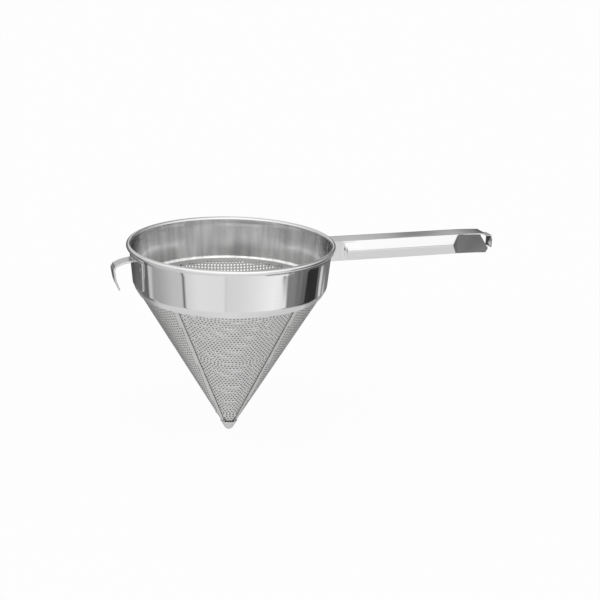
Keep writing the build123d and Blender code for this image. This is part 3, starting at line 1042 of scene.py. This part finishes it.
# %% Bead up each side of the handle's root
bead_top, bead_foot, bead_steps, bead_sides = 3.4, 20.9, 48, 10
y_root, deep, wide = 10.2, 1.25, 1.15
vertices, faces = [], []
for side in (-1, 1):
    base = len(vertices)
    for step in range(bead_steps + 1):
        z = -bead_top - (bead_foot - bead_top) * step / bead_steps
        ripple = 1 + 0.09 * math.sin(step * 2.1) + 0.04 * math.sin(step * 5.3)
        x_root = math.sqrt(wall_line(z) ** 2 - y_root ** 2)
        for k in range(bead_sides):
            angle = 2 * math.pi * k / bead_sides
            vertices.append((
                (x_root + 0.1 + deep * ripple * math.cos(angle)) * MM,
                side * (y_root + 0.2 + wide * ripple * math.sin(angle)) * MM, z * MM))
    for step in range(bead_steps):
        here, ahead = base + step * bead_sides, base + (step + 1) * bead_sides
        for k in range(bead_sides):
            m = (k + 1) % bead_sides
            faces.append((here + k, here + m, ahead + m, ahead + k))
    last = base + bead_steps * bead_sides
    faces.append(tuple(range(base, base + bead_sides)))
    faces.append(tuple(range(last, last + bead_sides)))
root_beads = make_piece("handle_weld_beads", vertices, faces, weld_metal)
turn_outwards(root_beads.data)
mark_folds(root_beads.data, 60)
dress(root_beads, "weld", "handle_welds")

# %% [markdown]
# ## Rim wire
# The wire inside the bead shows only through the slit under the curl. The CAD solid is the
# right shape, so it stays and takes the satin finish.

# %% Dress the rim wire
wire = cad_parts["rim_wire"]
wire.data.materials.clear()
wire.data.materials.append(satin_strap)
print("rim wire keeps its CAD mesh with", len(wire.data.polygons), "faces")

# %% [markdown]
# ## Floor and studio
# Polished steel shows the studio more than itself, so the studio is part of its look. It is
# a room whose light changes with direction, set with light and dark stretches, so
# that what the band mirrors falls where the photograph shows it. In other views the same
# room gives other stripes. Only the camera sees plain white, and mirrored rays pass through
# the floor to the room. The floor keeps a faint shadow.

# %% Floor
ground_height, reach = -0.1985, 9
floor = make_piece(
    "floor", [(x * reach, y * reach, ground_height)
              for x, y in ((-1, -1), (1, -1), (1, 1), (-1, 1))], [(0, 1, 2, 3)], None)
pale = bpy.data.materials.new("pale_floor")
pale.use_nodes = True
tree = pale.node_tree
tree.nodes.clear()
floor_out = node(tree, "ShaderNodeOutputMaterial")
matt = node(tree, "ShaderNodeBsdfDiffuse")
matt.inputs["Color"].default_value = (0.9, 0.9, 0.9, 1)
glow = node(tree, "ShaderNodeEmission")
clear = node(tree, "ShaderNodeBsdfTransparent")
rays = node(tree, "ShaderNodeLightPath")
seen = node(tree, "ShaderNodeMixShader")
through = node(tree, "ShaderNodeMixShader")
white_share = math_node(tree, "MULTIPLY", rays.outputs["Is Camera Ray"], 0.94)
tree.links.new(white_share, seen.inputs[0])
tree.links.new(matt.outputs[0], seen.inputs[1])
tree.links.new(glow.outputs[0], seen.inputs[2])
tree.links.new(rays.outputs["Is Glossy Ray"], through.inputs[0])
tree.links.new(seen.outputs[0], through.inputs[1])
tree.links.new(clear.outputs[0], through.inputs[2])
tree.links.new(through.outputs[0], floor_out.inputs["Surface"])
floor.data.materials.clear()
floor.data.materials.append(pale)
floor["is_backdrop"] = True

# %% Studio world
world = bpy.data.worlds.new("soft_studio")
bpy.context.scene.world = world
world.use_nodes = True
studio = world.node_tree
studio.nodes.clear()
sky_out = node(studio, "ShaderNodeOutputWorld")
sky = node(studio, "ShaderNodeBackground")
direction = node(studio, "ShaderNodeTexCoord")
spin = node(studio, "ShaderNodeVectorRotate", rotation_type="Z_AXIS")
spin.inputs["Angle"].default_value = view_turn
studio.links.new(direction.outputs["Generated"], spin.inputs["Vector"])
axes = node(studio, "ShaderNodeSeparateXYZ")
studio.links.new(spin.outputs[0], axes.inputs[0])
bearing = math_node(studio, "ARCTAN2", axes.outputs["Y"], axes.outputs["X"])
bearing = math_node(studio, "ADD", math_node(studio, "DIVIDE", bearing, 2 * math.pi), 0.5)
right_side = node(studio, "ShaderNodeMapRange", interpolation_type="SMOOTHSTEP")
right_side.inputs["From Min"].default_value = 0.38
right_side.inputs["From Max"].default_value = 0.44
right_side.inputs["To Max"].default_value = 0.09
studio.links.new(bearing, right_side.inputs["Value"])
folds = node(studio, "ShaderNodeTexNoise")
folds.inputs["Scale"].default_value = 9.0
folds.inputs["Detail"].default_value = 1.5
studio.links.new(direction.outputs["Generated"], folds.inputs["Vector"])
wobble = math_node(studio, "SUBTRACT", folds.outputs["Fac"], 0.5)
wobble = math_node(studio, "MULTIPLY", wobble, right_side.outputs["Result"])
bearing = math_node(studio, "ADD", bearing, wobble)
lift = math_node(studio, "ARCSINE", axes.outputs["Z"])
lift = math_node(studio, "MULTIPLY", lift, 180 / math.pi)


def ramp(stops):
    made = node(studio, "ShaderNodeValToRGB")
    keys = made.color_ramp.elements
    keys[0].position, keys[1].position = 0.0, 1.0
    for degrees_round, light in stops[1:-1]:
        keys.new((degrees_round + 180) / 360)
    for key, (degrees_round, light) in zip(keys, stops):
        key.position = (degrees_round + 180) / 360
        key.color = (light, light, light, 1)
    studio.links.new(bearing, made.inputs["Fac"])
    return made.outputs["Color"]


def between(low, high):
    made = node(studio, "ShaderNodeMapRange", interpolation_type="SMOOTHSTEP")
    made.inputs["From Min"].default_value = low
    made.inputs["From Max"].default_value = high
    studio.links.new(lift, made.inputs["Value"])
    return made.outputs["Result"]


def blend_light(share, first, second):
    made = node(studio, "ShaderNodeMix", data_type="RGBA")
    studio.links.new(share, made.inputs["Factor"])
    studio.links.new(first, made.inputs["A"])
    studio.links.new(second, made.inputs["B"])
    return made.outputs["Result"]


walls = ramp([
    (-180, 0.42), (-160, 0.58), (-146, 0.62), (-144.6, 0.15), (-143, 0.15), (-141.5, 0.74),
    (-125, 0.86), (-94, 0.84), (-92.5, 0.66), (-91, 0.76), (-78, 0.78), (-60, 0.86),
    (-36, 1.0), (-20, 0.9), (-16, 0.28), (8, 0.15), (12, 0.13), (14, 0.03), (34, 0.035),
    (37, 0.16), (46, 0.2), (48.5, 0.75), (52, 0.7), (55, 0.28), (75, 0.42), (140, 0.2),
    (159, 0.13), (163, 0.65), (167, 0.62), (169.5, 0.38), (180, 0.42),
])
flank = ramp([
    (-180, 0.5), (-120, 0.8), (-60, 0.88), (-48.5, 0.85), (-46, 0.3), (-43, 0.14), (-20, 0.2),
    (20, 0.15), (90, 0.2), (120, 0.06), (155, 0.06), (175, 0.4), (180, 0.5),
])
ceiling = ramp([
    (-180, 0.9), (-120, 1.2), (-60, 1.25), (-10, 1.0), (30, 0.6), (60, 0.3), (75.5, 0.12),
    (80.0, 0.16), (81.2, 0.62), (88, 0.68), (150, 0.7), (180, 0.9),
])
ground = ramp([(-180, 0.75), (-90, 0.8), (-20, 0.76), (90, 0.6), (180, 0.75)])
back_gap = ramp([(-180, 0.9), (-30, 1.0), (40, 0.3), (60, 0.14), (120, 0.14), (140, 0.3),
                 (180, 0.9)])
room = blend_light(between(-48, -30), ground, walls)
room = blend_light(between(-21, -19), room, flank)
room = blend_light(between(-12, -9), room, walls)
room = blend_light(between(-6, 2), room, back_gap)
room = blend_light(between(11, 16), room, ceiling)
sight = node(studio, "ShaderNodeLightPath")
white = node(studio, "ShaderNodeRGB")
white.outputs[0].default_value = (1, 1, 1, 1)
final = blend_light(sight.outputs["Is Camera Ray"], room, white.outputs[0])
studio.links.new(final, sky.inputs["Color"])
studio.links.new(sky.outputs[0], sky_out.inputs["Surface"])
bpy.context.scene.view_settings.view_transform = "Standard"
print("studio world with", len(studio.nodes), "nodes")

# %% Sizes and finish
low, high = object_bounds()
print("visual box from", [round(v, 4) for v in low], "to", [round(v, 4) for v in high])
